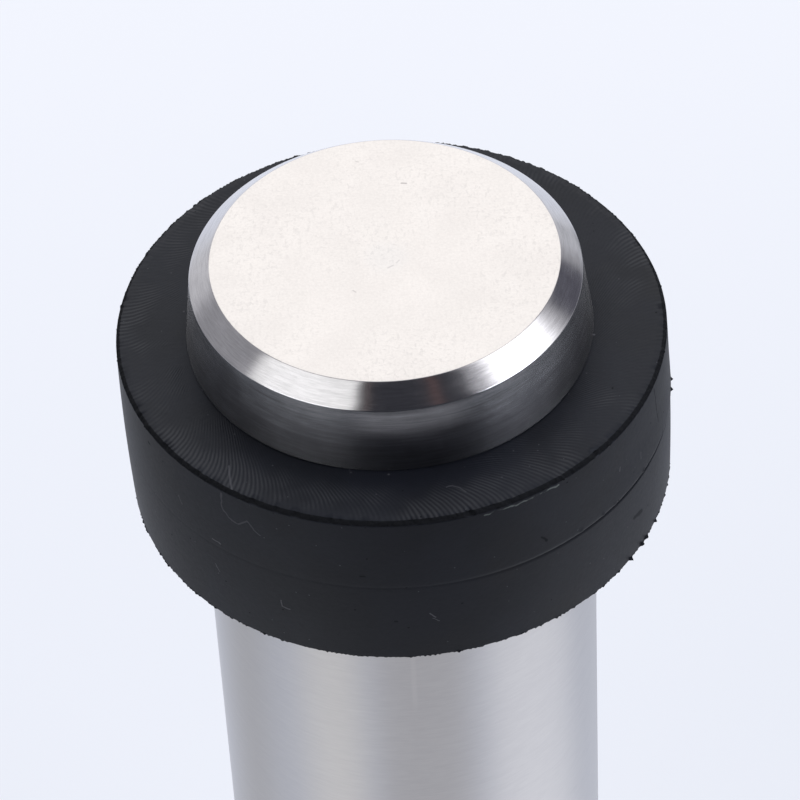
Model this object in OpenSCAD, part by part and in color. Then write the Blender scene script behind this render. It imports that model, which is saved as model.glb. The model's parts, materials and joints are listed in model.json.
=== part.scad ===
// Floor-mounted cylindrical door stop: a tubular steel post, a rubber buffer ring
// and a turned head, held to the floor by a concealed sleeve anchor.
// The origin is the centre of the post at floor level, with +Z up, in millimetres.
// What lies below z = 0 is the anchor, which sits in the floor.

/* [Post] */
// Outside diameter of the tube and of the head's neck
post_d = 30; // [30:0.5:36]
// Wall thickness of the tube
post_wall = 2; // [1.5:0.1:2]
// Height from the floor to the top of the head
total_h = 100; // [95:1:140]
// Break on the tube's end edges
tube_break = 0.3; // [0.1:0.1:0.6]

/* [Head] */
// Height of the head above the buffer ring
head_stand = 6.8; // [5:0.1:12]
// Radial width of the polished chamfer
chamfer_w = 1.6; // [0.8:0.05:2.5]
// Height of the polished chamfer
chamfer_h = 1.4; // [0.8:0.05:2.5]
// How much the neck's radius grows from under the chamfer to its foot
neck_taper = 0.65; // [0.2:0.05:1.2]
// Diameter of the spigot that carries the buffer ring
spigot_d = 24; // [20:0.5:24]
// Depth of the spigot in the top insert
spigot_sunk = 3.2; // [2:0.1:5]

/* [Buffer ring] */
// Height of the ring
ring_h = 13.9; // [10:0.1:20]
// Diameter at the top edge
ring_top_d = 40.4; // [36:0.1:50]
// Diameter at the fullest part of the side
ring_mid_d = 40.8; // [36:0.1:50]
// Diameter at the bottom edge
ring_bottom_d = 40.5; // [36:0.1:50]

/* [Inserts] */
// Length of the insert in the top of the tube
top_insert_h = 18; // [15:0.5:22]
// Length of the insert in the foot of the tube
base_insert_h = 25; // [22:0.5:32]
// Diameter of the recess that covers the anchor nut
nut_recess_d = 19; // [18:0.5:21]
// Height of that recess above the floor
nut_recess_h = 12.5; // [11.5:0.5:14]
// Thickness of the floor gasket
gasket_t = 1; // [0.5:0.1:1.5]

/* [Fasteners] */
// Length of the head stud
head_stud_len = 29; // [26:1:32]
// Nominal diameter of the lock screw
lock_d = 5; // [4:0.5:5]
// Height of the lock screw above the floor
lock_z = 19; // [18:0.5:21]
// Drill size that the anchor's sleeve fits
anchor_d = 12; // [11.5:0.5:14]
// Length of the anchor's sleeve
sleeve_len = 38; // [30:1:50]
// Length of the anchor's cone
cone_len = 8; // [6:0.5:10]

/* [Hidden] */
$fn = 128;

// Nominal diameter of the head stud's and the anchor stud's thread
thread_d = 8;
// Radial clearance of parts that turn or slide on each other
run_gap = 0.06;
// Radial clearance of the tube's hole round the lock screw, and of the sleeve on the anchor stud
hole_gap = 0.1;
sleeve_gap = 0.15;
// How much smaller in radius the anchor's cone is than the drilled hole
cone_gap = 0.1;
// Overlap of a cutting shape past the face it cuts
cut = 1;

post_r = post_d / 2;
bore_r = post_r - post_wall;
spigot_r = spigot_d / 2;
thread_r = thread_d / 2;
lock_r = lock_d / 2;

// Heights, from the top down
neck_z = total_h - head_stand;
tube_top_z = neck_z - ring_h;
spigot_z = tube_top_z - spigot_sunk;
chamfer_z = total_h - chamfer_h;

// Stamped and standard fastener sizes for an M8 thread
spring_washer_d = 14.8;
spring_washer_t = 2;
spring_washer_hole_d = 8.2;
flat_washer_d = 16;
flat_washer_t = 1.6;
flat_washer_hole_d = 8.4;
nut_across = 13;
nut_h = 6.5;

// Depth of the head stud's top end below the foot of the neck, and the drilled room above it
head_stud_sunk = 2.7;
drill_room = 1;
// Depth of the anchor stud's end below the top of the base insert
anchor_sunk = 2;

washer_seat_z = spigot_z - spring_washer_t;
head_stud_top_z = neck_z - head_stud_sunk;
head_stud_z = head_stud_top_z - head_stud_len;
top_insert_z = tube_top_z - top_insert_h;
base_insert_z = gasket_t;
anchor_spring_z = flat_washer_t;
anchor_nut_z = anchor_spring_z + spring_washer_t;
base_insert_top_z = base_insert_z + base_insert_h;
anchor_top_z = base_insert_top_z - anchor_sunk;
anchor_bottom_z = -sleeve_len - cone_len;

// Points of a bowed side from the bottom radius to the top radius, fullest at mid height
function bowed_side(r_bottom, r_mid, r_top, z0, h, steps) =
    [for (i = [0:steps])
        let (t = i / steps, straight = r_bottom + (r_top - r_bottom) * t)
        [straight + 4 * t * (1 - t) * (r_mid - (r_bottom + r_top) / 2), z0 + h * t]];

// A plain ring between two heights
module ring(outer_r, inner_r, z0, z1) {
    translate([0, 0, z0])
        difference() {
            cylinder(r = outer_r, h = z1 - z0);
            translate([0, 0, -cut]) cylinder(r = inner_r, h = z1 - z0 + 2 * cut);
        }
}

// A round bar along Z between two heights, which a difference uses as a hole
module bar(r, z0, z1) {
    translate([0, 0, z0]) cylinder(r = r, h = z1 - z0);
}

// A split spring washer, whose slot faces +X
module split_washer(z0) {
    slot_w = 1.6;
    difference() {
        ring(spring_washer_d / 2, spring_washer_hole_d / 2, z0, z0 + spring_washer_t);
        translate([0, -slot_w / 2, z0 - cut])
            cube([spring_washer_d, slot_w, spring_washer_t + 2 * cut]);
    }
}

// The turned head: flat top, chamfer, tapered neck and the spigot below it
module head_cap() {
    edge_r = post_r - neck_taper;
    outline = [
        [0, total_h], [edge_r - chamfer_w, total_h], [edge_r, chamfer_z], [post_r, neck_z],
        [spigot_r, neck_z], [spigot_r, spigot_z], [0, spigot_z]
    ];
    color("gainsboro")
        difference() {
            rotate_extrude() polygon(outline);
            bar(thread_r, spigot_z - cut, head_stud_top_z + drill_room);
        }
}

// The threaded stud that is fixed in the head and screws into the top insert
module head_stud() {
    point = 0.8;
    color("silver") {
        translate([0, 0, head_stud_z]) cylinder(r1 = thread_r - point, r2 = thread_r, h = point);
        bar(thread_r, head_stud_z + point, head_stud_top_z);
    }
}

// The spring washer that keeps the head from working loose
module head_lock_washer() {
    color("darkgray") split_washer(washer_seat_z);
}

// The rubber buffer, bowed a little at mid height
module buffer_ring() {
    lip = 0.25;
    side = bowed_side(
        ring_bottom_d / 2, ring_mid_d / 2, ring_top_d / 2, tube_top_z + lip, ring_h - 2 * lip, 8
    );
    outline = concat(
        [[spigot_r + run_gap, tube_top_z], [ring_bottom_d / 2 - lip, tube_top_z]],
        side,
        [[ring_top_d / 2 - lip, neck_z], [spigot_r + run_gap, neck_z]]
    );
    color("#25262b") rotate_extrude() polygon(outline);
}

// The brushed tube, with a hole at the back for the lock screw
module post_tube() {
    outline = [
        [bore_r, base_insert_z], [post_r - tube_break, base_insert_z],
        [post_r, base_insert_z + tube_break], [post_r, tube_top_z - tube_break],
        [post_r - tube_break, tube_top_z], [bore_r, tube_top_z]
    ];
    color("lightsteelblue")
        difference() {
            rotate_extrude() polygon(outline);
            lock_hole(lock_r + hole_gap);
        }
}

// The turned plug fixed in the top of the tube: it centres the spigot and takes the head stud
module top_insert() {
    color("darkgray")
        difference() {
            bar(bore_r, top_insert_z, tube_top_z);
            bar(spigot_r + run_gap, washer_seat_z, tube_top_z + cut);
            bar(thread_r + run_gap, top_insert_z - cut, tube_top_z);
        }
}

// The turned plug fixed in the foot of the tube: it covers the anchor nut and screws onto the anchor
module base_insert() {
    color("darkgray")
        difference() {
            bar(bore_r, base_insert_z, base_insert_top_z);
            bar(nut_recess_d / 2, base_insert_z - cut, nut_recess_h);
            bar(thread_r, nut_recess_h - cut, base_insert_top_z + cut);
            lock_hole(lock_r);
        }
}

// The radial hole of the lock screw, from the anchor stud out through the back of the tube
module lock_hole(r) {
    translate([0, 0, lock_z]) rotate([-90, 0, 0]) cylinder(r = r, h = post_r + cut);
}

// The grub screw that clamps the post on the anchor stud, with a hexagon socket
module lock_screw() {
    tip_y = thread_r + run_gap;
    screw_len = 10;
    socket_across = 2.5;
    socket_depth = 2.5;
    color("dimgray")
        translate([0, tip_y, lock_z])
            rotate([-90, 0, 0])
                difference() {
                    cylinder(r = lock_r - run_gap, h = screw_len);
                    translate([0, 0, screw_len - socket_depth])
                        cylinder(d = socket_across / cos(30), h = socket_depth + cut, $fn = 6);
                }
}

// The thin rubber washer under the post
module floor_gasket() {
    color("#303236") ring(post_r - tube_break, nut_recess_d / 2, 0, gasket_t);
}

// The anchor's threaded stud, with the cone that spreads the sleeve
module anchor_stud() {
    cone_foot = 1.5;
    cone_r = anchor_d / 2 - cone_gap;
    color("silver") {
        bar(thread_r, anchor_bottom_z + cone_len, anchor_top_z);
        translate([0, 0, anchor_bottom_z + cone_foot])
            cylinder(r1 = cone_r, r2 = thread_r, h = cone_len - cone_foot);
        bar(cone_r, anchor_bottom_z, anchor_bottom_z + cone_foot);
    }
}

// The slit sleeve that grips the hole in the floor
module expansion_sleeve() {
    slit_w = 1.4;
    slit_len = 16;
    color("lightgray")
        difference() {
            ring(anchor_d / 2, thread_r + sleeve_gap, -sleeve_len, 0);
            for (a = [0, 90])
                rotate([0, 0, a])
                    translate([-anchor_d, -slit_w / 2, -sleeve_len - cut])
                        cube([2 * anchor_d, slit_w, slit_len + cut]);
        }
}

// The flat washer on the floor, inside the recess
module anchor_washer() {
    color("lightgray") ring(flat_washer_d / 2, flat_washer_hole_d / 2, 0, flat_washer_t);
}

// The spring washer under the anchor nut
module anchor_spring_washer() {
    color("darkgray") split_washer(anchor_spring_z);
}

// The hexagon nut that tightens the anchor
module anchor_nut() {
    color("lightgray")
        translate([0, 0, anchor_nut_z])
            difference() {
                cylinder(d = nut_across / cos(30), h = nut_h, $fn = 6);
                translate([0, 0, -cut]) cylinder(r = thread_r, h = nut_h + 2 * cut);
            }
}

head_cap();
head_stud();
head_lock_washer();
buffer_ring();
post_tube();
top_insert();
base_insert();
lock_screw();
floor_gasket();
anchor_stud();
expansion_sleeve();
anchor_washer();
anchor_spring_washer();
anchor_nut();
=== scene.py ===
"""Looks of the floor door stop: a turned steel head, a moulded rubber buffer ring and a brushed tube."""

import json
import math

import bmesh
import bpy
import numpy as np
from mathutils import Matrix, Vector


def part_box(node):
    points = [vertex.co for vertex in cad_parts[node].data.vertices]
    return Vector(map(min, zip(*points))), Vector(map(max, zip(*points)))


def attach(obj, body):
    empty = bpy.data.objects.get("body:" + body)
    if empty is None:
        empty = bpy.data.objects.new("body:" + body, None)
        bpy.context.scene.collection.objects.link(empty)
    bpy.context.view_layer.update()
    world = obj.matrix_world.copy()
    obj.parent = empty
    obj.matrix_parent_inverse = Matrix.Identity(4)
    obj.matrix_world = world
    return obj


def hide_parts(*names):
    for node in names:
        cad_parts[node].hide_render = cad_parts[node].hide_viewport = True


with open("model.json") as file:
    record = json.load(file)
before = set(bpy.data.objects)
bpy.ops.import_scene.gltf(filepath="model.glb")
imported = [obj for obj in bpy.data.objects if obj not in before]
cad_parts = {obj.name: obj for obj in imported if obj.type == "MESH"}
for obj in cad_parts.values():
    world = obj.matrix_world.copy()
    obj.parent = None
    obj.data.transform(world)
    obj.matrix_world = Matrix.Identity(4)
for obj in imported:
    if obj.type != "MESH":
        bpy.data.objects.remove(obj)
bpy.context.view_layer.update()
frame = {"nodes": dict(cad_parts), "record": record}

MM = 0.001
TAU = 2 * math.pi

# Sizes that the frame gives
HEAD_LOW, HEAD_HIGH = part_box("head_cap")
RING_LOW, RING_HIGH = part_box("buffer_ring")
TUBE_LOW, TUBE_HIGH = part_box("post_tube")
TOP_Z = HEAD_HIGH.z
NECK_Z = RING_HIGH.z
RING_Z = RING_LOW.z
POST_R = TUBE_HIGH.x
RING_R = RING_HIGH.x

# Sizes of the head, which its node's box doesn't give
CHAMFER_W = 1.6 * MM
CHAMFER_H = 1.4 * MM
NECK_TAPER = 0.65 * MM
SPIGOT_R = 12 * MM
HEAD_LEAN = -0.1 * MM

# The M8 threads, and the M5 thread of the lock screw
THREAD_R = 4 * MM
THREAD_PITCH = 1.25 * MM
THREAD_DEPTH = 0.7 * MM
STUD_R = THREAD_R - 0.02 * MM
SCREW_PITCH = 0.8 * MM
SCREW_THREAD_DEPTH = 0.42 * MM

# The tube's wall, and the faint painted highlight, a pale stripe down the top of its front
TUBE_WALL = 2 * MM
HIGHLIGHT_AZIMUTH = 0.02
HIGHLIGHT_END_Z = TUBE_HIGH.z - 11.5 * MM

# The rubber ring's parting line, above its foot, and how far its top edge and its foot sit off centre
PARTING_H = 7.4 * MM
TOP_SHIFT = (0.09 * MM, 0.20 * MM)
FOOT_SHIFT = (0.33 * MM, -0.07 * MM)

# What the room sends towards the object: the floor's glow below the horizon, the walls' above it,
# and panels over both. Azimuth 0 is the camera's side, -Y, and 90 is +X. A later panel covers an
# earlier one. Angles are in degrees, and wide, tall and edge are half widths, half heights and
# half the soft edge.
FLOOR_GLOW = (0.92, 0.96, 1.08, 1)
WALL_GLOW = (0.40, 0.40, 0.43, 1)
PANELS = [
    dict(azimuth=183, elevation=6, wide=43, tall=14, edge=8, glow=(0.80, 0.81, 0.86, 1)),
    dict(azimuth=180, elevation=46, wide=42, tall=28, edge=8, glow=(1.55, 1.51, 1.49, 1)),
    dict(azimuth=-135, elevation=4, wide=12, tall=10, edge=7, glow=(0.76, 0.76, 0.80, 1)),
    dict(azimuth=121, elevation=14, wide=11, tall=10, edge=3, glow=(0.11, 0.11, 0.14, 1)),
    dict(azimuth=-51, elevation=46, wide=33, tall=17, edge=3.5, glow=(1.42, 1.42, 1.42, 1)),
    dict(azimuth=-51, elevation=27, wide=20, tall=5, edge=3, glow=(3.6, 3.6, 3.75, 1)),
    dict(azimuth=82, elevation=41, wide=18.5, tall=19, edge=11, glow=(3.0, 3.0, 3.1, 1)),
    dict(azimuth=66, elevation=27, wide=20, tall=5, edge=4, glow=(6.3, 6.5, 7.3, 1)),
    dict(azimuth=80, elevation=-60, wide=30, tall=28, edge=12, glow=(1.32, 1.34, 1.43, 1)),
    dict(azimuth=-115, elevation=-60, wide=18, tall=28, edge=14, glow=(0.76, 0.77, 0.82, 1)),
    dict(azimuth=-50, elevation=-60, wide=18, tall=28, edge=12, glow=(1.20, 1.19, 1.19, 1)),
    dict(azimuth=5, elevation=-22, wide=142, tall=17.5, edge=5, glow=(0.07, 0.075, 0.085, 1)),
    dict(azimuth=5, elevation=-15, wide=72, tall=14.5, edge=5, glow=(0.18, 0.185, 0.20, 1)),
    dict(azimuth=5, elevation=-12, wide=34, tall=23, edge=7, glow=(0.07, 0.07, 0.08, 1)),
    dict(azimuth=8, elevation=-60, wide=29, tall=25, edge=11, glow=(0.74, 0.74, 0.78, 1)),
    dict(azimuth=12.5, elevation=24, wide=36, tall=45, edge=2.5, glow=(0.045, 0.047, 0.058, 1)),
    dict(azimuth=-17, elevation=55, wide=1.5, tall=12, edge=2.5, glow=(0.11, 0.07, 0.065, 1)),
    dict(azimuth=28, elevation=55, wide=2, tall=12, edge=4, glow=(0.19, 0.115, 0.11, 1)),
]

# Lines on the ring's side: a route in degrees from the camera's side and mm above the foot, then the
# half width in mm and the strength
HAIR = [(-39, 13.3), (-39, 11.9), (-37.5, 11.2), (-35, 11.0), (-33, 11.6), (-31.5, 11.2), (-30, 10.7)]
PALE_MARKS = [
    (HAIR, 0.10, 0.5),
    ([(-42.2, 8.0), (-40.2, 7.9)], 0.09, 0.9),
    ([(-42, 5.4), (-41.2, 4.7)], 0.07, 0.8),
    ([(-52, 10.0), (-51, 9.4)], 0.07, 0.5),
    ([(-26.3, 4.5), (-26, 3.9), (-24.2, 3.9)], 0.08, 0.9),
    ([(4.8, 4.6), (5.8, 4.1)], 0.08, 0.9),
    ([(5.2, 4.0), (6.6, 3.7)], 0.06, 0.7),
    ([(59.5, 9.6), (59.3, 9.0)], 0.07, 0.8),
    ([(51.6, 10.6), (51.4, 10.3)], 0.09, 0.7),
]
DARK_MARKS = [
    ([(29.3, 9.2), (30.3, 8.6)], 0.13, 0.8),
    ([(56, 4.0), (59, 3.6)], 0.28, 0.5),
    ([(68, 13.3), (68.6, 11.6), (69, 9.6)], 0.08, 0.7),
    ([(-8.8, 8.6), (-8.0, 8.6)], 0.12, 0.7),
    ([(-2.2, 4.0), (-1.8, 4.0)], 0.14, 0.8),
    ([(-62.7, 12.4), (-62.2, 12.4)], 0.14, 0.8),
]
# The torn sliver just under the top edge
SLIVER = ([(17, 13.33), (20, 13.42), (24, 13.36), (27, 13.42), (31, 13.40), (34, 13.36)], 0.10, 1.0)
# Lines on the ring's top, with routes in degrees and mm from the axis
TOP_MARKS = [
    ([(-41.6, 18.1), (-38.7, 19.1), (-36.7, 19.8)], 0.10, 0.5),
    ([(11.4, 17.2), (12.6, 17.1), (14.2, 17.5), (15.1, 18.0)], 0.08, 0.5),
]
# Short marks on the head's face, with routes in mm from its middle
FACE_MARKS = [
    ([(0.1, -1.15), (0.5, -0.9)], 0.09, 0.5),
    ([(0.75, -0.65), (0.95, -0.4)], 0.09, 0.4),
    ([(1.45, 7.85), (1.8, 7.8)], 0.10, 0.9),
    ([(-1.8, 10.5), (-1.65, 10.45)], 0.08, 0.5),
    ([(-2.5, -3.3), (-2.3, -3.5)], 0.08, 0.5),
    ([(0.6, 1.3), (0.8, 1.2)], 0.08, 0.3),
]


# ---------------------------------------------------------------- camera and studio


def camera_towards(distance, elevation, aim, roll, lens):
    """A camera on the -Y side, at a distance and elevation from the middle of the head's top face."""
    top = Vector((0, 0, TOP_Z))
    place = top + Vector((0, -math.cos(elevation), math.sin(elevation))) * distance
    back = (place - (top + aim)).normalized()
    right = Vector((0, 0, 1)).cross(back).normalized()
    up = back.cross(right)
    tilted_right = right * math.cos(roll) + up * math.sin(roll)
    tilted_up = up * math.cos(roll) - right * math.sin(roll)
    data = bpy.data.cameras.new("camera")
    data.lens = lens
    data.sensor_width = 36
    data.clip_start = 0.01
    data.clip_end = 20
    camera = bpy.data.objects.new("camera", data)
    axes = Matrix((tilted_right, tilted_up, back)).transposed().to_4x4()
    camera.matrix_world = Matrix.Translation(place) @ axes
    bpy.context.scene.collection.objects.link(camera)
    bpy.context.scene.camera = camera


class Nodes:
    """Short names for building a node tree."""

    def __init__(self, tree):
        self.tree = tree
        tree.nodes.clear()

    def add(self, kind, inputs=None, **settings):
        """Adds a node, sets its properties, and sets or links its inputs."""
        node = self.tree.nodes.new(kind)
        for key, value in settings.items():
            setattr(node, key, value)
        for key, value in (inputs or {}).items():
            if isinstance(value, bpy.types.NodeSocket):
                self.tree.links.new(value, node.inputs[key])
            else:
                node.inputs[key].default_value = value
        return node

    def math(self, operation, a, b=0.0, c=0.0, clamp=False):
        """The result of a Math node."""
        node = self.add(
            "ShaderNodeMath", {0: a, 1: b, 2: c}, operation=operation, use_clamp=clamp
        )
        return node.outputs[0]

    def step(self, value, low, high):
        """0 below low, 1 above high, smooth between them."""
        node = self.add(
            "ShaderNodeMapRange",
            {"Value": value, "From Min": low, "From Max": high},
            interpolation_type="SMOOTHSTEP",
        )
        return node.outputs[0]

    def average(self, a, b, share):
        """Value a, with b mixed in by a share."""
        return self.math("MULTIPLY_ADD", b, share, self.math("MULTIPLY", a, 1 - share))

    def blend(self, share, a, b):
        """Colour a where share is 0 and b where it is 1."""
        node = self.add(
            "ShaderNodeMix", {0: share, 6: a, 7: b}, data_type="RGBA"
        )
        return node.outputs[2]

    def noise(self, vector, scale, detail=2.0, rough=0.5):
        """A noise value about 0.5."""
        node = self.add(
            "ShaderNodeTexNoise",
            {"Vector": vector, "Scale": scale, "Detail": detail, "Roughness": rough},
        )
        return node.outputs[0]

    def specks(self, vector, cell, size, share):
        """1 in small round spots, at most one to a cell of space, in a share of the cells."""
        node = self.add("ShaderNodeTexVoronoi", {"Vector": vector, "Scale": 1 / cell})
        spot = self.step(node.outputs["Distance"], size / cell, 0.5 * size / cell)
        pick = self.math("LESS_THAN", self.parts(node.outputs["Color"])[0], share)
        return self.math("MULTIPLY", spot, pick)

    def stroke(self, u, v, a, b, width):
        """1 near the straight line from a to b, on a surface with coordinates u and v."""
        along = Vector(b) - Vector(a)
        du = self.math("SUBTRACT", u, a[0])
        dv = self.math("SUBTRACT", v, a[1])
        scale = 1 / along.length_squared
        dot = self.math("MULTIPLY", du, along.x * scale)
        t = self.math("MULTIPLY_ADD", dv, along.y * scale, dot, clamp=True)
        off_u = self.math("MULTIPLY_ADD", t, -along.x, du)
        off_v = self.math("MULTIPLY_ADD", t, -along.y, dv)
        square = self.math("MULTIPLY_ADD", off_u, off_u, self.math("MULTIPLY", off_v, off_v))
        return self.step(self.math("SQRT", square), width, 0.3 * width)

    def strokes(self, u, v, marks, mm_per_unit=1):
        """1 near the lines of some marks. Values u and v are in mm, and so is a route's second value,
        while its first is in units of mm_per_unit."""
        total = None
        for route, width, strength in marks:
            places = [(first * mm_per_unit, second) for first, second in route]
            for a, b in zip(places[:-1], places[1:]):
                line = self.math("MULTIPLY", self.stroke(u, v, a, b, width), strength)
                total = line if total is None else self.math("MAXIMUM", total, line)
        return total

    def scaled(self, vector, x, y, z):
        """The vector with each part multiplied."""
        node = self.add(
            "ShaderNodeVectorMath", {0: vector, 1: (x, y, z)}, operation="MULTIPLY"
        )
        return node.outputs[0]

    def place(self):
        """The position in the row frame, in metres."""
        return self.add("ShaderNodeTexCoord").outputs["Object"]

    def parts(self, vector):
        """The X, Y and Z of a vector."""
        return self.add("ShaderNodeSeparateXYZ", {0: vector}).outputs

    def joined(self, x, y, z):
        """A vector of three values."""
        return self.add("ShaderNodeCombineXYZ", {0: x, 1: y, 2: z}).outputs[0]

    def radius(self, vector):
        """The distance from the Z axis."""
        flat = self.scaled(vector, 1, 1, 0)
        return self.add(
            "ShaderNodeVectorMath", {0: flat}, operation="LENGTH"
        ).outputs["Value"]

    def azimuth(self, vector):
        """The angle round the Z axis, from -Y towards +X, in radians."""
        x, y, _ = self.parts(vector)
        return self.math("ARCTAN2", x, self.math("MULTIPLY", y, -1))


def studio_world():
    """The room as the metal mirrors it: pale floor all round, bright softboxes behind, left and right,
    and the dark side where the camera stands."""
    world = bpy.data.worlds.new("studio")
    bpy.context.scene.world = world
    world.use_nodes = True
    n = Nodes(world.node_tree)
    towards = n.add("ShaderNodeTexCoord").outputs["Generated"]
    azimuth = n.azimuth(towards)
    elevation = n.math("ARCSINE", n.parts(towards)[2])
    colour = n.blend(n.step(elevation, -0.06, 0.06), FLOOR_GLOW, WALL_GLOW)
    for panel in PANELS:
        colour = n.blend(panel_share(n, azimuth, elevation, panel), colour, panel["glow"])
    background = n.add("ShaderNodeBackground", {"Color": colour, "Strength": 1.0})
    out = n.add("ShaderNodeOutputWorld")
    world.node_tree.links.new(background.outputs[0], out.inputs[0])


def panel_share(n, azimuth, elevation, panel):
    """1 inside a panel of the room and 0 outside, with soft edges."""
    turn = n.math("SUBTRACT", azimuth, math.radians(panel["azimuth"]))
    away = n.math("ABSOLUTE", n.math("WRAP", turn, math.pi, -math.pi))
    rise = n.math("SUBTRACT", elevation, math.radians(panel["elevation"]))
    rise = n.math("ABSOLUTE", rise)
    wide, tall, edge = (math.radians(panel[key]) for key in ("wide", "tall", "edge"))
    across = n.step(away, wide + edge, wide - edge)
    upright = n.step(rise, tall + edge, tall - edge)
    return n.math("MULTIPLY", across, upright)


def floor():
    """A large pale floor that is bright of itself, with a little shading under the object."""
    size = 6.0
    drop = -0.05 * MM
    data = bpy.data.meshes.new("floor")
    corners = [(-size, -size, drop), (size, -size, drop), (size, size, drop), (-size, size, drop)]
    data.from_pydata(corners, [], [(0, 1, 2, 3)])
    sheet = bpy.data.objects.new("floor", data)
    bpy.context.scene.collection.objects.link(sheet)
    material, n = new_material("floor")
    depth = n.step(n.parts(n.place())[1], 0.04, 0.18)
    colour = n.blend(depth, (0.685, 0.715, 0.785, 1), (0.74, 0.765, 0.83, 1))
    glow = n.add("ShaderNodeEmission", {"Color": colour, "Strength": 1.0})
    paper = n.add("ShaderNodeBsdfDiffuse", {"Color": (0.17, 0.17, 0.18, 1)})
    close_material(material, n, n.add("ShaderNodeAddShader", {0: glow.outputs[0], 1: paper.outputs[0]}))
    data.materials.append(material)
    sheet.visible_glossy = False
    sheet.visible_diffuse = False


# ---------------------------------------------------------------- mesh tools


def rounded(corners, steps=4):
    """A line of (radius, height) points, where each corner (r, z, fillet) is rounded off by fillet."""
    made = []
    for i, (r, z, fillet) in enumerate(corners):
        here = np.array((r, z))
        if fillet == 0 or i in (0, len(corners) - 1):
            made.append(here)
            continue
        before = np.array(corners[i - 1][:2]) - here
        after = np.array(corners[i + 1][:2]) - here
        start = here + before / np.linalg.norm(before) * fillet
        end = here + after / np.linalg.norm(after) * fillet
        for t in np.linspace(0, 1, steps + 1):
            made.append((1 - t) ** 2 * start + 2 * t * (1 - t) * here + t * t * end)
    return np.array(made)


def spaced(line, gap):
    """The line with extra points, so that no two are further apart than gap."""
    made = [line[0]]
    for a, b in zip(line[:-1], line[1:]):
        count = max(1, math.ceil(np.linalg.norm(b - a) / gap))
        for k in range(1, count + 1):
            made.append(a + (b - a) * k / count)
    return np.array(made)


def grid_mesh(name, points, closed):
    """A mesh from points[row, column], closed round the columns, and round the rows too if closed.
    A row of zero radius at either end becomes a single point."""
    rows, columns, _ = points.shape
    data = bpy.data.meshes.new(name)
    verts = []
    index = []
    for row in points:
        start = len(verts)
        if not closed and np.abs(row[:, :2]).max() < 1e-9:
            verts.append(tuple(row[0]))
            index.append([start] * columns)
        else:
            verts.extend(map(tuple, row))
            index.append(list(range(start, start + columns)))
    faces = []
    pairs = [(i, i + 1) for i in range(rows - 1)]
    if closed:
        pairs.append((rows - 1, 0))
    for i, j in pairs:
        for k in range(columns):
            m = (k + 1) % columns
            corners = [index[i][k], index[j][k], index[j][m], index[i][m]]
            faces.append(list(dict.fromkeys(corners)))
    data.from_pydata(verts, [], faces)
    facing_out(data)
    data.shade_smooth()
    piece = bpy.data.objects.new(name, data)
    bpy.context.scene.collection.objects.link(piece)
    return piece


def facing_out(data):
    """Turns every face of a closed mesh outwards."""
    faces = bmesh.new()
    faces.from_mesh(data)
    bmesh.ops.recalc_face_normals(faces, faces=faces.faces)
    faces.to_mesh(data)
    faces.free()


def round_angles(columns):
    """The angles of a turned mesh's columns, from +X towards +Y."""
    return np.linspace(0, TAU, columns, endpoint=False)


def turned(name, line, columns, closed=False):
    """A lathe-turned piece from a line of (radius, height) points. A radius may be one for each column."""
    angle = round_angles(columns)
    points = np.zeros((len(line), columns, 3))
    for i, (r, z) in enumerate(line):
        points[i, :, 0] = r * np.cos(angle)
        points[i, :, 1] = r * np.sin(angle)
        points[i, :, 2] = z
    return grid_mesh(name, points, closed)


def finish_piece(piece, body, nodes, materials):
    """Gives a piece its materials and its body, and hides the CAD nodes that it stands for."""
    for material in materials:
        piece.data.materials.append(material)
    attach(piece, body)
    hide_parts(*nodes)
    return piece


# ---------------------------------------------------------------- materials


def new_material(name):
    """A material with an empty node tree."""
    material = bpy.data.materials.new(name)
    material.use_nodes = True
    return material, Nodes(material.node_tree)


def close_material(material, n, shader):
    """Links the shader to the material's output."""
    out = n.add("ShaderNodeOutputMaterial")
    material.node_tree.links.new(shader.outputs[0], out.inputs[0])
    return material


def bump(n, height, distance, strength=1.0):
    """A surface direction from a height between 0 and 1, over a depth in metres."""
    node = n.add(
        "ShaderNodeBump",
        {"Height": height, "Distance": distance, "Strength": strength},
    )
    return node.outputs[0]


def round_tangent(n):
    """The direction round the Z axis."""
    return n.add(
        "ShaderNodeTangent", direction_type="RADIAL", axis="Z"
    ).outputs[0]


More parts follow.
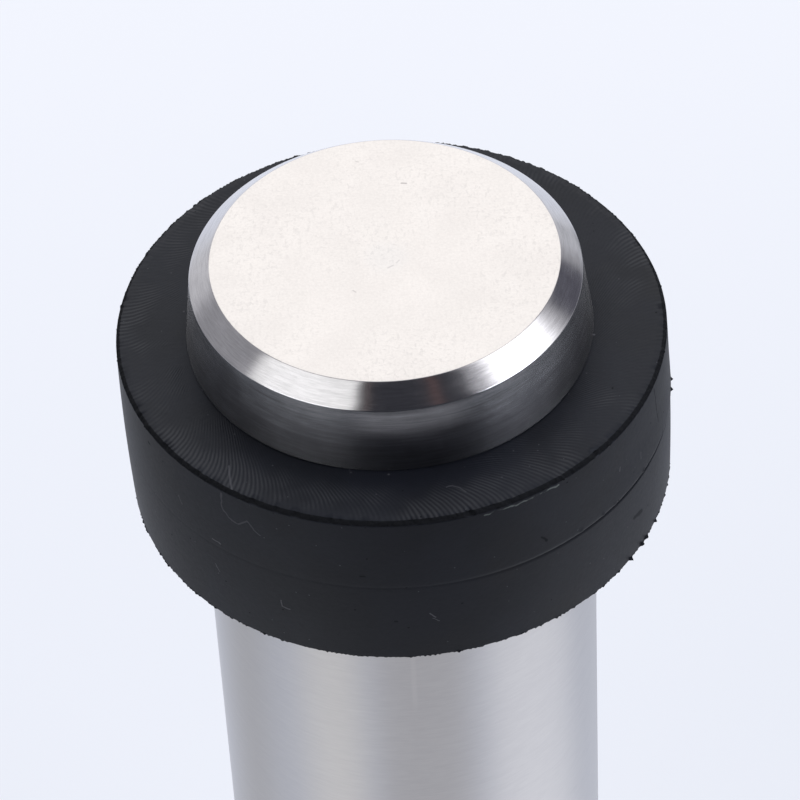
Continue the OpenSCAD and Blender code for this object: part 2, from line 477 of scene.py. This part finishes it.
def faced_steel():
    """The head's top: nearly white and matt, with a fine grain, short dark marks and a centre mark."""
    material, n = new_material("faced_steel")
    at = n.place()
    r = n.radius(at)
    grain = n.noise(at, 4800, 3, 0.7)
    cloud = n.noise(at, 260, 3)
    rings = n.noise(n.joined(r, 0, 0), 3200, 2)
    worn = n.step(n.noise(at, 130, 2), 0.36, 0.62)
    x, y, _ = n.parts(at)
    across = n.step(n.noise(n.scaled(at, 1, 0.45, 1), 3000, 4, 0.7), 0.47, 0.36)
    along = n.step(n.noise(n.scaled(at, 0.5, 1, 1), 3300, 4, 0.7), 0.45, 0.35)
    marks = n.math("MULTIPLY", n.math("MAXIMUM", across, along), n.math("MULTIPLY_ADD", worn, 0.6, 0.2))
    centre = n.step(r, 1.8 * MM, 0.5 * MM)
    marks = n.math("MULTIPLY_ADD", n.math("MULTIPLY", centre, marks), 0.8, marks, clamp=True)
    x_mm = n.math("DIVIDE", x, MM)
    y_mm = n.math("DIVIDE", y, MM)
    dark = n.math("MAXIMUM", n.strokes(x_mm, y_mm, FACE_MARKS), n.specks(at, 2.2 * MM, 0.09 * MM, 0.25))
    tone = n.step(n.average(grain, cloud, 0.35), 0.3, 0.7)
    colour = n.blend(tone, (0.66, 0.642, 0.63, 1), (0.74, 0.722, 0.708, 1))
    colour = n.blend(n.math("MULTIPLY", marks, 0.42), colour, (0.50, 0.49, 0.485, 1))
    colour = n.blend(n.math("MULTIPLY", dark, 0.7), colour, (0.26, 0.24, 0.25, 1))
    halo = n.math("MULTIPLY", n.step(r, 2.2 * MM, 0.8 * MM), 0.25)
    colour = n.blend(halo, colour, (0.66, 0.67, 0.68, 1))
    shader = n.add(
        "ShaderNodeBsdfPrincipled",
        {
            "Base Color": colour,
            "Metallic": 1.0,
            "Roughness": 0.42,
            "Normal": bump(n, n.average(grain, rings, 0.5), 0.012 * MM),
        },
    )
    return close_material(material, n, shader)


def turned_steel(name, colour, roughness, aniso, pitch, length, contrast, depth, smear=0, painted_shade_share=0):
    """Bright turned steel, with marks of a given pitch and length that run round the piece. Contrast
    is how much darker the marks get, and depth is how deep they are. A share of the light, smear, is
    spread further along the piece by the deeper grooves. The last argument darkens the colour by its
    share near the rubber ring: painted shade, standing in for the black rubber that the neck mirrors."""
    material, n = new_material(name)
    at = n.place()
    x, y, z = n.parts(at)
    along = n.math("MULTIPLY_ADD", n.radius(at), -0.8, z)
    fine = streaks(n, x, y, along, length, pitch, 3)
    band = streaks(n, x, y, along, 5 * length, 4 * pitch, 2)
    mottle = n.noise(at, 420, 3, 0.6)
    tone = n.step(n.average(n.average(fine, band, 0.35), mottle, 0.3), 0.32, 0.66)
    shade = n.blend(tone, tuple(c * (1 - contrast) for c in colour) + (1,), (*colour, 1))
    # Painted shade: the colour darkens towards the rubber ring, standing in for the black rubber that the
    # polished neck mirrors
    painted_shade_mask = n.math("MULTIPLY", n.step(z, NECK_Z + 5 * MM, NECK_Z + 0.6 * MM), painted_shade_share)
    shade = n.blend(painted_shade_mask, shade, (0.02, 0.02, 0.022, 1))
    rough = n.math("MULTIPLY_ADD", n.math("SUBTRACT", mottle, 0.5), 0.12, roughness)
    normal = bump(n, fine, depth)
    shader = groove_shader(n, shade, rough, aniso, normal)
    if smear:
        broad = groove_shader(n, shade, 0.44, 0.9, normal)
        shader = n.add("ShaderNodeMixShader", {0: smear, 1: shader.outputs[0], 2: broad.outputs[0]})
    return close_material(material, n, shader)


def streaks(n, x, y, along, length, pitch, detail):
    """A noise drawn out to a length round the piece, with a pitch along it."""
    across = n.math("DIVIDE", x, length)
    deep = n.math("DIVIDE", y, length)
    return n.noise(n.joined(across, deep, n.math("DIVIDE", along, pitch)), 1.0, detail, 0.6)


def groove_shader(n, shade, roughness, aniso, normal):
    """Metal with grooves round the Z axis."""
    return n.add(
        "ShaderNodeBsdfPrincipled",
        {
            "Base Color": shade,
            "Metallic": 1.0,
            "Roughness": roughness,
            "Anisotropic": aniso,
            "Anisotropic Rotation": 0.25,
            "Tangent": round_tangent(n),
            "Normal": normal,
        },
    )


def brushed_steel():
    """The tube's satin finish: short fine scratches round the tube, soft clouds and a faint painted
    highlight, a pale stripe down the top of its front.
    """
    material, n = new_material("brushed_steel")
    at = n.place()
    fine = n.noise(n.scaled(at, 650, 650, 6500), 1.0, 3, 0.6)
    broad = n.noise(n.scaled(at, 330, 330, 1800), 1.0, 3, 0.55)
    cloud = n.noise(n.scaled(at, 1, 1, 0.8), 150, 3, 0.6)
    both = n.average(fine, broad, 0.4)
    tone = n.step(n.average(both, cloud, 0.45), 0.34, 0.66)
    colour = n.blend(tone, (0.585, 0.58, 0.59, 1), (0.65, 0.645, 0.65, 1))
    # Painted highlight: a faint pale stripe down the front of the tube, from below the ring upwards
    away = n.math("ABSOLUTE", n.math("SUBTRACT", n.azimuth(at), HIGHLIGHT_AZIMUTH))
    high = n.step(n.parts(at)[2], HIGHLIGHT_END_Z - 1.5 * MM, HIGHLIGHT_END_Z + 1.5 * MM)
    painted_highlight = n.math("MULTIPLY", n.step(away, 0.02, 0.004), high)
    colour = n.blend(n.math("MULTIPLY", painted_highlight, 0.4), colour, (0.70, 0.69, 0.69, 1))
    shader = n.add(
        "ShaderNodeBsdfPrincipled",
        {
            "Base Color": colour,
            "Metallic": 1.0,
            "Roughness": n.math("MULTIPLY_ADD", n.average(both, cloud, 0.5), 0.12, 0.26),
            "Anisotropic": 0.7,
            "Anisotropic Rotation": 0.25,
            "Tangent": round_tangent(n),
            "Normal": bump(n, both, 0.0018 * MM),
        },
    )
    return close_material(material, n, shader)


def plain_steel(name, colour, roughness, grain_scale=1800):
    """Steel of the fasteners: a mottled finish with a fine grain."""
    material, n = new_material(name)
    at = n.place()
    mottle = n.noise(at, grain_scale, 4, 0.6)
    cloud = n.noise(at, 300, 2)
    tone = n.step(n.average(mottle, cloud, 0.5), 0.35, 0.65)
    shade = n.blend(tone, tuple(c * 0.8 for c in colour) + (1,), (*colour, 1))
    shader = n.add(
        "ShaderNodeBsdfPrincipled",
        {
            "Base Color": shade,
            "Metallic": 1.0,
            "Roughness": n.math("MULTIPLY_ADD", cloud, 0.1, roughness),
            "Normal": bump(n, mottle, 0.01 * MM),
        },
    )
    return close_material(material, n, shader)


def cutter_marks(n, at, r, z):
    """The curved marks on the ring's cut top, from the neck outwards, stronger in some patches.
    Returns their height, and 1 on the ring's top and 0 below it."""
    spacing_angle = 0.0192
    sweep_angle = 0.27
    outward = n.math("DIVIDE", n.math("SUBTRACT", r, POST_R), RING_R - POST_R)
    inward = n.math("SUBTRACT", 1.0, outward, clamp=True)
    turn = n.math("MULTIPLY_ADD", n.math("POWER", inward, 2.2), sweep_angle, n.azimuth(at))
    wander = n.noise(at, 420, 3)
    phase = n.math("MULTIPLY_ADD", wander, 6.0, n.math("MULTIPLY", turn, TAU / spacing_angle))
    wave = n.math("MULTIPLY_ADD", n.math("SINE", phase), 0.5, 0.5)
    patch = n.math("MULTIPLY_ADD", n.step(n.noise(at, 240, 2), 0.44, 0.66), 0.85, 0.08)
    top = n.step(z, NECK_Z - 0.12 * MM, NECK_Z - 0.04 * MM)
    return n.math("MULTIPLY", n.math("MULTIPLY", wave, patch), top), top


def moulded_rubber():
    """The buffer ring: satin black rubber, cutter marks on its top with a painted sheen on the top's outer
    part, scuffs, dust, pits, torn edges, and painted shade in the parting line.
    """
    material, n = new_material("moulded_rubber")
    at = n.place()
    z = n.parts(at)[2]
    r = n.radius(at)
    marks, top = cutter_marks(n, at, r, z)
    grain = n.noise(at, 2600, 4, 0.65)
    cloud = n.noise(at, 160, 3)
    wobble = n.math("MULTIPLY", n.math("SUBTRACT", n.noise(at, 1500, 2), 0.5), 0.35)
    torn = n.add("ShaderNodeAttribute", attribute_name="torn").outputs["Fac"]
    line = n.add("ShaderNodeAttribute", attribute_name="parting").outputs["Fac"]
    mm_per_degree = RING_R / MM * math.pi / 180
    u = n.math("MULTIPLY_ADD", n.azimuth(at), RING_R / MM, wobble)
    v = n.math("ADD", n.math("MULTIPLY", n.math("SUBTRACT", z, RING_Z), 1 / MM), wobble)
    side = n.math("MULTIPLY", n.step(r, RING_R - 0.9 * MM, RING_R - 0.6 * MM), n.math("SUBTRACT", 1.0, top))
    pale = n.math("MULTIPLY", n.strokes(u, v, PALE_MARKS, mm_per_degree), side)
    sliver = n.math("MULTIPLY", n.strokes(u, v, [SLIVER], mm_per_degree), side)
    sliver = n.math("MULTIPLY", sliver, n.step(n.noise(at, 700, 3, 0.7), 0.42, 0.60))
    dark = n.math("MULTIPLY", n.strokes(u, v, DARK_MARKS, mm_per_degree), side)
    on_top = n.strokes(u, n.math("MULTIPLY_ADD", r, 1 / MM, wobble), TOP_MARKS, mm_per_degree)
    pale = n.math("MAXIMUM", pale, n.math("MULTIPLY", on_top, top))
    dust = n.math("MULTIPLY", n.specks(at, 0.9 * MM, 0.075 * MM, 0.4), 0.55)
    pits = n.specks(n.scaled(at, 1, 1, 1.5), 1.3 * MM, 0.11 * MM, 0.25)
    near_neck = n.step(r, POST_R + 0.6 * MM, POST_R + 0.2 * MM)
    crumbs = n.math("MULTIPLY", n.specks(at, 0.7 * MM, 0.12 * MM, 0.6), near_neck)
    pale = n.math("MAXIMUM", n.math("MAXIMUM", dust, crumbs), pale, clamp=True)
    body = n.blend(n.step(cloud, 0.35, 0.65), (0.0030, 0.0034, 0.0060, 1), (0.0052, 0.0060, 0.0102, 1))
    body = n.blend(n.step(n.noise(at, 90, 3), 0.55, 0.75), body, (0.0062, 0.0058, 0.0066, 1))
    # Painted sheen: the outer part of the cut top is painted lighter along the cutter marks, standing in
    # for the brighter light it catches there
    painted_sheen = n.math("MULTIPLY", n.step(r, RING_R - 4.6 * MM, RING_R - 2.2 * MM), marks)
    body = n.blend(painted_sheen, body, (0.028, 0.029, 0.033, 1))
    colour = n.blend(n.math("MULTIPLY", pale, 0.55), body, (0.13, 0.13, 0.145, 1))
    colour = n.blend(n.math("MULTIPLY", sliver, 0.8), colour, (0.15, 0.17, 0.16, 1))
    ragged = n.step(n.math("MULTIPLY_ADD", n.noise(at, 3000, 2), 0.5, torn), 0.68, 0.80)
    # The parting line's groove is painted darker here: painted shade in the crease, on top of the groove's
    # own shading
    black = n.math("MAXIMUM", n.math("MAXIMUM", ragged, line), n.math("MAXIMUM", dark, pits))
    colour = n.blend(black, colour, (0.0022, 0.0022, 0.0027, 1))
    rough = n.math("MULTIPLY_ADD", black, 0.3, 0.46)
    height = n.average(grain, marks, 0.6)
    shader = n.add(
        "ShaderNodeBsdfPrincipled",
        {
            "Base Color": colour,
            "Roughness": n.math("MULTIPLY_ADD", grain, 0.1, rough),
            "IOR": 1.36,
            "Specular Tint": (0.80, 0.87, 1.0, 1),
            "Normal": bump(n, height, 0.028 * MM),
        },
    )
    return close_material(material, n, shader)


def gasket_rubber():
    """The thin gasket under the post."""
    material, n = new_material("gasket_rubber")
    at = n.place()
    grain = n.noise(at, 2200, 3)
    colour = n.blend(n.step(grain, 0.3, 0.7), (0.016, 0.016, 0.018, 1), (0.03, 0.03, 0.032, 1))
    shader = n.add(
        "ShaderNodeBsdfPrincipled",
        {"Base Color": colour, "Roughness": 0.6, "Normal": bump(n, grain, 0.02 * MM)},
    )
    return close_material(material, n, shader)


# ---------------------------------------------------------------- the head


def head_piece():
    """The turned head with its chamfer, tapered neck, spigot and threaded hole."""
    edge_r = POST_R - NECK_TAPER
    face_r = edge_r - CHAMFER_W
    spigot_z = HEAD_LOW.z
    hole_top = NECK_Z - 1.7 * MM
    chamfer_z = TOP_Z - CHAMFER_H
    corners = [(0, TOP_Z, 0), (face_r, TOP_Z, 0.06 * MM), (edge_r, chamfer_z, 0.06 * MM)]
    corners += [
        (POST_R, NECK_Z + 0.02 * MM, 0.12 * MM),
        (SPIGOT_R, NECK_Z + 0.02 * MM, 0),
        (SPIGOT_R, spigot_z, 0.4 * MM),
        (THREAD_R + 0.6 * MM, spigot_z, 0),
        (THREAD_R, spigot_z + 0.6 * MM, 0),
        (THREAD_R, hole_top, 0),
        (0, hole_top + 1.2 * MM, 0),
    ]
    line = spaced(rounded(corners), 0.5 * MM)
    piece = turned("head", line, 480)
    materials = [
        faced_steel(),
        turned_steel(
            "polished_chamfer",
            colour=(0.65, 0.64, 0.65),
            roughness=0.16,
            aniso=0.6,
            pitch=0.12 * MM,
            length=1.2 * MM,
            contrast=0.22,
            depth=0.001 * MM,
        ),
        turned_steel(
            "turned_neck",
            colour=(0.62, 0.63, 0.66),
            roughness=0.18,
            aniso=0.8,
            pitch=0.14 * MM,
            length=3.5 * MM,
            contrast=0.38,
            depth=0.0016 * MM,
            smear=0.25,
            # painted shade towards the rubber ring
            painted_shade_share=0.5,
        ),
    ]
    finish_piece(piece, "head", ["head_cap"], materials)
    for face in piece.data.polygons:
        z = face.center.z
        r = math.hypot(face.center.x, face.center.y)
        if z > TOP_Z - 0.02 * MM and r < face_r:
            face.material_index = 0
        elif z > chamfer_z:
            face.material_index = 1
        else:
            face.material_index = 2
    for vertex in piece.data.vertices:
        share = max(0, vertex.co.z - NECK_Z) / (TOP_Z - NECK_Z)
        vertex.co.x += HEAD_LEAN * share
    return piece


# ---------------------------------------------------------------- the buffer ring


def wave_band(rng, angle, low, high, count):
    """A sum of waves round the ring, with between low and high waves in a turn, scaled to about 1."""
    total = np.zeros_like(angle)
    for k in rng.integers(low, high, count):
        total += np.sin(k * angle + rng.uniform(0, TAU))
    return total / math.sqrt(count)


def away_from(angle, degrees):
    """How far each angle is from a place in degrees from the camera's side, in radians."""
    return (angle - math.radians(degrees - 90) + math.pi) % TAU - math.pi


def spikes(rng, angle, count, width, low, high):
    """Narrow bumps at random places round the ring, each from low to high."""
    total = np.zeros_like(angle)
    for _ in range(count):
        away = away_from(angle, rng.uniform(0, 360))
        total += rng.uniform(low, high) * np.exp(-((away / (width * rng.uniform(0.5, 1.5))) ** 2))
    return total


def burrs(angle, places, width):
    """Narrow bumps of 1 at places in degrees from the camera's side."""
    total = np.zeros_like(angle)
    for degrees in places:
        total += np.exp(-((away_from(angle, degrees) / width) ** 2))
    return total


def ring_rows(lip, foot_lip):
    """The ring's outline from the bore round to the underside, as (radius, height, kind)."""
    bore_r = SPIGOT_R + 0.06 * MM
    top_r = RING_R - 0.11 * MM
    foot_r = RING_R - 0.06 * MM
    full_r = RING_R + 0.03 * MM
    side_low = RING_Z + foot_lip
    side_high = NECK_Z - lip
    line_z = RING_Z + PARTING_H
    rows = [(bore_r, z, "bore") for z in np.linspace(RING_Z, NECK_Z - 0.1 * MM, 3)]
    rows += [(r, NECK_Z, "face") for r in np.linspace(bore_r + 0.1 * MM, POST_R - 0.3 * MM, 3)]
    rows += [(r, NECK_Z, "face") for r in np.linspace(POST_R, top_r - lip, 10)]
    for t in np.linspace(0, 1, 7)[1:-1]:
        rows.append((top_r - lip * (1 - t) ** 1.2, NECK_Z - lip * t**1.2, "lip"))
    near_line = line_z + np.array((0.32, 0.18, 0.1, 0.04, -0.02, -0.08, -0.16, -0.3)) * MM
    near_ends = (side_high - 0.04 * MM, side_low + 0.04 * MM)
    heights = {*np.linspace(side_high, side_low, 30), *near_line, *near_ends}
    for z in sorted(heights, reverse=True):
        t = (z - side_low) / (side_high - side_low)
        straight = foot_r + (top_r - foot_r) * t
        bow = 4 * t * (1 - t) * (full_r - (foot_r + top_r) / 2)
        rows.append((straight + bow, z, "side"))
    for t in np.linspace(0, 1, 6)[1:-1]:
        rows.append((foot_r - foot_lip * t**1.4, side_low - foot_lip * t, "foot"))
    rows += [(r, RING_Z, "under") for r in np.linspace(foot_r - foot_lip, bore_r + 0.3 * MM, 4)]
    return rows


def seat_shift(r, z):
    """How far a place on the ring sits off centre: nothing at the bore, most at the outside."""
    down = (NECK_Z - z) / (NECK_Z - RING_Z)
    outward = min(1, max(0, (r - POST_R) / (0.8 * (RING_R - POST_R))))
    shift = np.array(TOP_SHIFT) * (1 - down) + np.array(FOOT_SHIFT) * down
    return shift * outward


def ring_piece():
    """The rubber ring: bowed side, torn top and bottom edges and a parting line round the side."""
    rng = np.random.default_rng(7)
    columns = 1200
    angle = round_angles(columns)
    lip = 0.32 * MM
    line_z = RING_Z + PARTING_H
    torn = 0.5 * wave_band(rng, angle, 40, 160, 24) + 0.5 * wave_band(rng, angle, 160, 500, 24)
    notch = spikes(rng, angle, 46, 0.010, 0.4, 1.3)
    flake = spikes(rng, angle, 26, 0.005, 0.5, 1.6) + 1.2 * burrs(angle, (-34, -32.6, -44), 0.008)
    foot_torn = 0.6 * wave_band(rng, angle, 120, 420, 30) + 0.5 * wave_band(rng, angle, 20, 90, 12)
    foot_flake = spikes(rng, angle, 90, 0.005, 0.3, 1.2)
    foot_burr = burrs(angle, (66, 61, 59, 54), 0.007) + 0.5 * spikes(rng, angle, 14, 0.006, 0.3, 1.0)
    sway = wave_band(rng, angle, 2, 6, 4)
    seen_right = np.exp(-((np.clip(away_from(angle, 75), -9, 9) / 0.75) ** 2))
    line_depth = 0.06 + 0.94 * seen_right
    line_burr = spikes(rng, angle, 30, 0.006, 0.0, 0.5) * line_depth + burrs(angle, (84, 87), 0.007)

    rows = ring_rows(lip, foot_lip=0.12 * MM)
    points = np.zeros((len(rows), columns, 3))
    torn_mask = np.zeros((len(rows), columns))
    parting_shade_mask = np.zeros((len(rows), columns))
    for i, (r, z, kind) in enumerate(rows):
        radius = np.full(columns, r)
        height = np.full(columns, z)
        rough_row = rng.normal(0, 1, columns)
        if kind == "lip":
            radius += 0.035 * MM * torn - 0.09 * MM * notch + 0.07 * MM * flake + 0.018 * MM * rough_row
            height += 0.02 * MM * torn - 0.05 * MM * notch + 0.015 * MM * rough_row
            torn_mask[i] = 1
        elif kind == "foot":
            radius += 0.05 * MM * foot_torn + 0.02 * MM * rough_row + 0.2 * MM * foot_burr
            height -= 0.03 * MM * foot_torn + 0.11 * MM * foot_flake
            torn_mask[i] = 1
        elif kind == "side":
            away = (z - line_z - 0.1 * MM * sway) / (0.11 * MM)
            groove = np.exp(-(away**2)) * line_depth
            swell = np.clip(away * 0.5, 0, 1) * np.clip(1 - (z - line_z) / (3 * MM), 0, 1)
            radius += 0.02 * MM * sway + 0.08 * MM * swell * seen_right - 0.08 * MM * groove
            radius += 0.22 * MM * line_burr * np.exp(-((away - 1.2) ** 2))
            # the groove's depth also sets the painted shade in the parting line
            parting_shade_mask[i] = groove
        elif kind == "face":
            height += 0.002 * MM * rough_row
        shift = seat_shift(r, z)
        points[i, :, 0] = radius * np.cos(angle) + shift[0]
        points[i, :, 1] = radius * np.sin(angle) + shift[1]
        points[i, :, 2] = height
    np.clip(points[:, :, 2], RING_Z - 0.12 * MM, NECK_Z + 0.02 * MM, out=points[:, :, 2])
    piece = grid_mesh("rubber_ring", points, closed=True)
    for name, mask in (("torn", torn_mask), ("parting", parting_shade_mask)):
        attribute = piece.data.attributes.new(name, "FLOAT", "POINT")
        attribute.data.foreach_set("value", mask.astype(np.float32).ravel())
    return finish_piece(piece, "buffer", ["buffer_ring"], [moulded_rubber()])


# ---------------------------------------------------------------- the post


def tube_piece():
    """The brushed tube, with broken edges and the hole for the lock screw at the back."""
    bore_r = POST_R - TUBE_WALL
    foot = TUBE_LOW.z
    top = TUBE_HIGH.z
    hole_r = 2.6 * MM
    corners = [
        (bore_r, foot, 0),
        (POST_R, foot, 0.3 * MM),
        (POST_R, top, 0.3 * MM),
        (bore_r, top, 0.2 * MM),
        (bore_r, foot, 0),
    ]
    line = spaced(rounded(corners), 2.5 * MM)[:-1]
    piece = turned("tube", line, 360, closed=True)
    screw_low, screw_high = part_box("lock_screw")
    middle = (screw_low + screw_high) / 2
    bpy.ops.mesh.primitive_cylinder_add(
        vertices=64,
        radius=hole_r,
        depth=8 * MM,
        location=(0, POST_R, middle.z),
        rotation=(math.pi / 2, 0, 0),
    )
    cutter = bpy.context.object
    cut = piece.modifiers.new("hole", "BOOLEAN")
    cut.operation = "DIFFERENCE"
    cut.object = cutter
    depsgraph = bpy.context.evaluated_depsgraph_get()
    drilled = bpy.data.meshes.new_from_object(piece.evaluated_get(depsgraph))
    piece.modifiers.clear()
    piece.data = drilled
    bpy.data.objects.remove(cutter)
    drilled.shade_smooth()
    drilled.set_sharp_from_angle(angle=math.radians(40))
    return finish_piece(piece, "post", ["post_tube"], [brushed_steel()])


# ---------------------------------------------------------------- the studs and the lock screw


def threaded_line(z_low, z_high, columns, nominal_r, pitch, depth):
    """The rows of a threaded rod with chamfered ends, as (radius of each column, height)."""
    angle = round_angles(columns)
    rows_per_turn = 8
    flat = 0.12
    rows = []
    for z in np.arange(z_low, z_high, pitch / rows_per_turn):
        turn = (z / pitch - angle / TAU) % 1
        groove = depth * np.clip((np.abs(2 * turn - 1) - flat) / (1 - 2 * flat), 0, 1)
        end = np.clip(depth * 1.15 - min(z - z_low, z_high - z), 0, None)
        rows.append((nominal_r - np.maximum(groove, end), z))
    return rows


def head_stud_piece():
    """The threaded stud in the head."""
    columns = 64
    low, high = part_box("head_stud")
    line = threaded_line(low.z, high.z, columns, STUD_R, THREAD_PITCH, THREAD_DEPTH)
    line = [(0, low.z)] + line + [(0, high.z)]
    piece = turned("stud", line, columns)
    return finish_piece(piece, "head", ["head_stud"], [looks["plated_steel"]])


def anchor_stud_piece():
    """The anchor's threaded stud with the smooth cone at its foot."""
    columns = 64
    low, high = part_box("anchor_stud")
    cone_r = 5.9 * MM
    foot_z = low.z + 1.5 * MM
    cone_z = low.z + 8 * MM
    cone = [(0, low.z, 0), (cone_r, low.z, 0.3 * MM), (cone_r, foot_z, 0.3 * MM), (THREAD_R, cone_z, 0)]
    line = list(spaced(rounded(cone), 1.5 * MM))
    line += threaded_line(cone_z, high.z, columns, STUD_R, THREAD_PITCH, THREAD_DEPTH)
    piece = turned("anchor_bolt", line + [(0, high.z)], columns)
    return finish_piece(piece, "post", ["anchor_stud"], [looks["plated_steel"]])


def lock_screw_piece():
    """The grub screw: a thread with a hexagon socket in its outer end."""
    columns = 72
    low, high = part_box("lock_screw")
    length = high.y - low.y
    socket_r = 1.25 * MM
    socket_depth = 2.5 * MM
    angle = round_angles(columns)
    hexagon = socket_r / np.cos((angle + math.pi / 6) % (math.pi / 3) - math.pi / 6)
    line = [(0, 0)] + threaded_line(0, length, columns, high.x, SCREW_PITCH, SCREW_THREAD_DEPTH)
    line += [(hexagon + 0.12 * MM, length), (hexagon, length - 0.15 * MM)]
    line += [(hexagon, length - socket_depth), (0, length - socket_depth - 0.6 * MM)]
    piece = turned("grub_screw", line, columns)
    middle = (low + high) / 2
    onto_y = Matrix.Rotation(-math.pi / 2, 4, "X")
    piece.data.transform(Matrix.Translation((0, low.y, middle.z)) @ onto_y)
    piece.data.set_sharp_from_angle(angle=math.radians(50))
    return finish_piece(piece, "lock", ["lock_screw"], [looks["screw_steel"]])


# ---------------------------------------------------------------- build

camera_towards(
    distance=0.3044,
    elevation=math.radians(43.17),
    aim=Vector((0.000446, 0, -0.014727)),
    roll=math.radians(-3.174),
    lens=189.1,
)
studio_world()
floor()

looks = {
    "plated_steel": plain_steel("plated_steel", (0.66, 0.69, 0.72), 0.25),
    "spring_steel": plain_steel("spring_steel", (0.34, 0.33, 0.32), 0.35),
    "insert_steel": turned_steel(
        "insert_steel",
        colour=(0.55, 0.55, 0.56),
        roughness=0.28,
        aniso=0.4,
        pitch=0.1 * MM,
        length=3 * MM,
        contrast=0.15,
        depth=0.004 * MM,
    ),
    "screw_steel": plain_steel("screw_steel", (0.42, 0.42, 0.44), 0.3),
    "gasket_rubber": gasket_rubber(),
}
for part in frame["record"]["subparts"]:
    if part["material_slot"] in looks:
        node = frame["nodes"][part["node"]]
        node.data.materials.clear()
        node.data.materials.append(looks[part["material_slot"]])

head_piece()
ring_piece()
tube_piece()
head_stud_piece()
anchor_stud_piece()
lock_screw_piece()

bpy.context.scene.view_settings.view_transform = "Standard"
